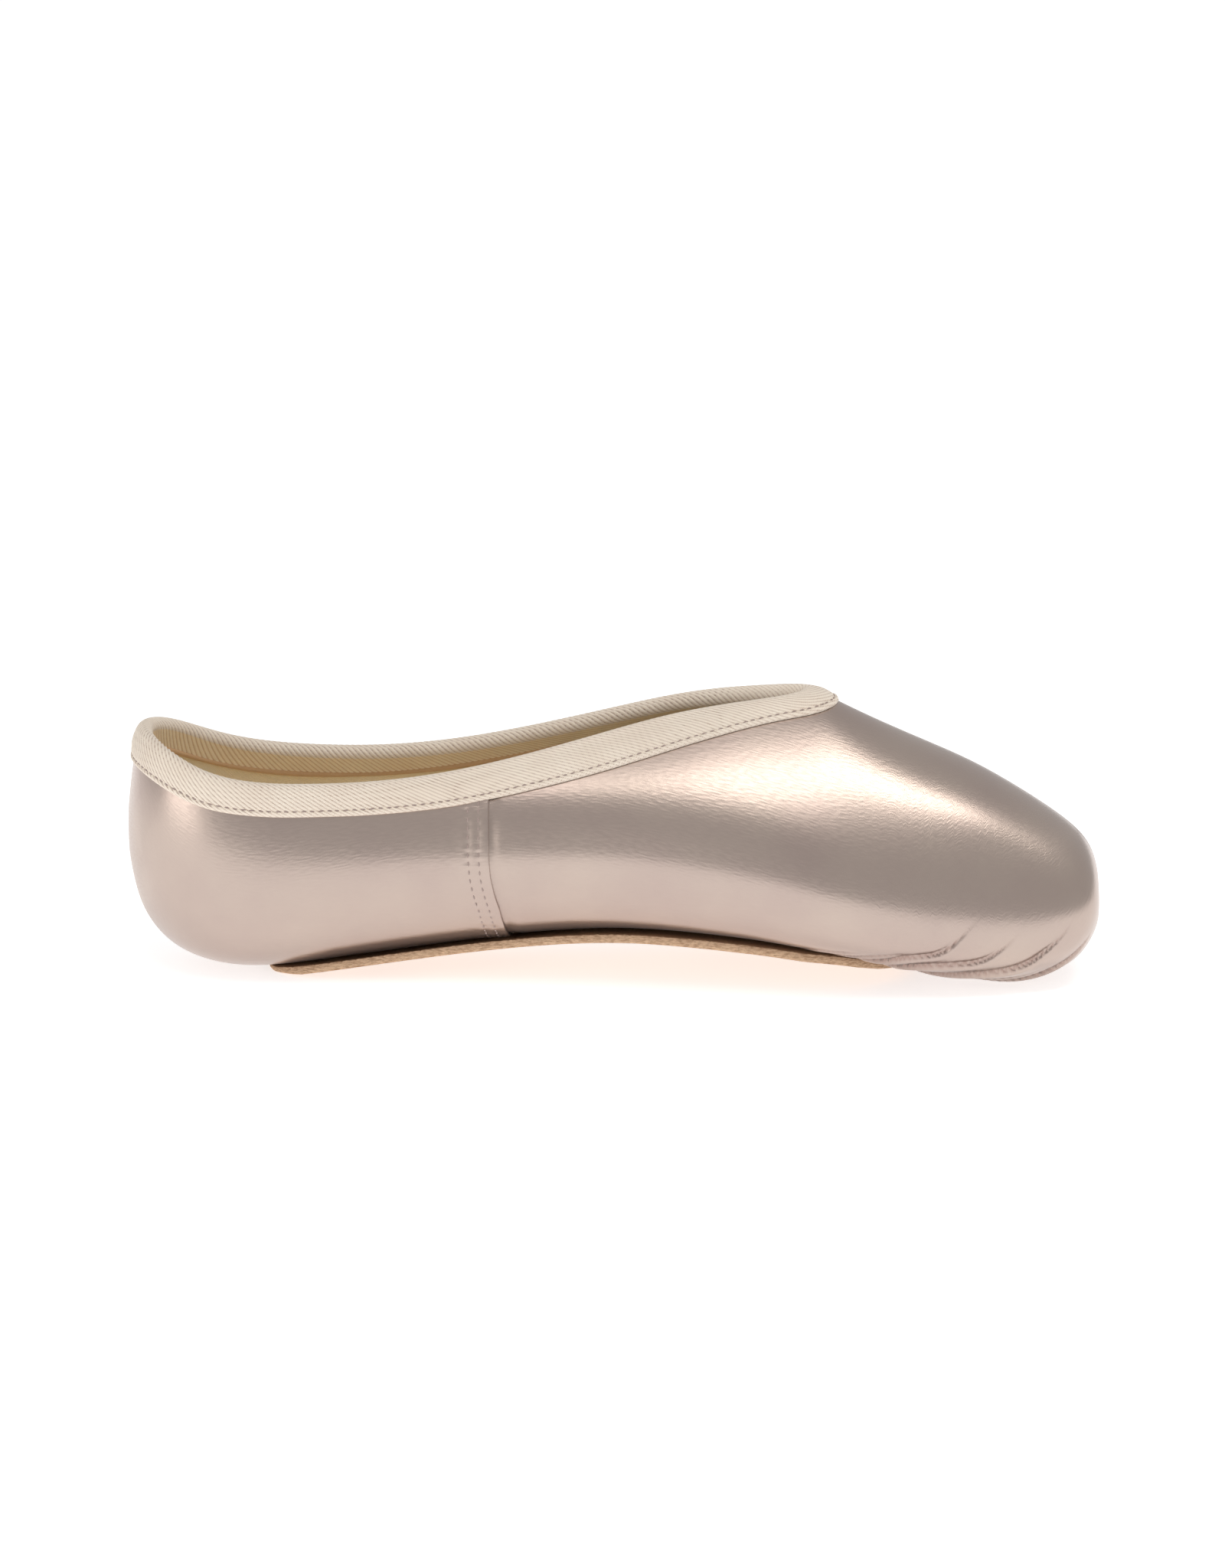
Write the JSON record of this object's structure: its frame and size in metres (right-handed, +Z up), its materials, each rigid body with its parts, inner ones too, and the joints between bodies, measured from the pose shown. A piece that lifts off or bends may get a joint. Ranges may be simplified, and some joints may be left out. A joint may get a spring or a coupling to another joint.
{
  "type": "pointe shoe",
  "caption": "Satin pointe shoe with a stiff blocked toe box and flat platform, a taped collar, a narrow leather outsole and an insole, standing empty on its heel and forefoot",
  "frame": {"origin": "on the floor under the middle of the shoe, halfway between the back of the heel and the platform", "axes": "+X points to the toe, +Z is up, Y runs from side to side; the shoe stands on its heel and forefoot"},
  "size_m": [0.23, 0.0736, 0.0682],
  "materials": {
    "satin": "pale pink satin with a strong sheen across the weave",
    "binding_tape": "cream twill tape with diagonal ribs",
    "sole_leather": "natural tan, rough at the cut edge",
    "sock_lining": "matt cream cotton drill",
    "drawstring_cord": "matt cream cotton cord"
  },
  "bodies": {
    "root": {"upper": "satin", "collar_binding": "binding_tape", "outsole": "sole_leather", "insole": "sock_lining", "drawstring": "drawstring_cord"}
  },
  "joints": []
}
